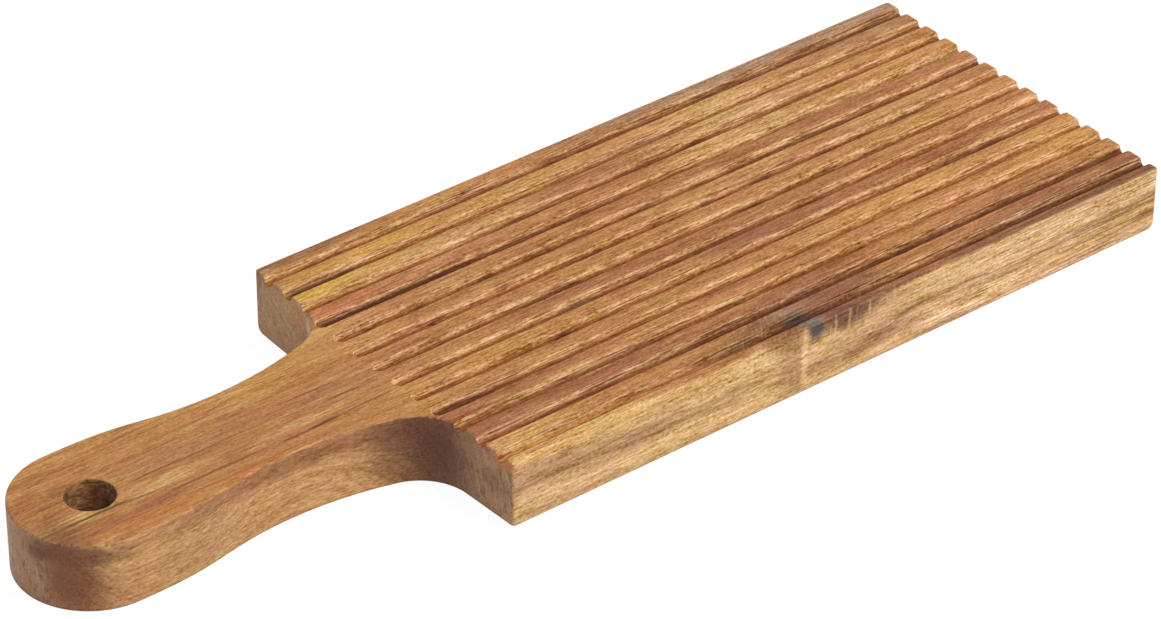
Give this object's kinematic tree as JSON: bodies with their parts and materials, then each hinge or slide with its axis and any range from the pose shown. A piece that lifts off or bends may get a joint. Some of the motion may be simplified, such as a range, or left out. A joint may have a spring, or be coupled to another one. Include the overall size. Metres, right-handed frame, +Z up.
{
  "type": "gnocchi board",
  "caption": "Wooden paddle board with lengthwise grooves that mark rolled dough, and a hang hole in its waisted handle.",
  "frame": {"origin": "under the middle of the whole board, on the flat face it rests on", "axes": "+X along the board from the handle to the blade's free end, +Y across the blade, +Z up out of the grooved face"},
  "size_m": [0.3, 0.1, 0.0185],
  "materials": {
    "board": "oiled acacia, satin, streaked from golden sapwood to red-brown heartwood"
  },
  "bodies": {
    "root": {"board": "board"}
  },
  "joints": []
}
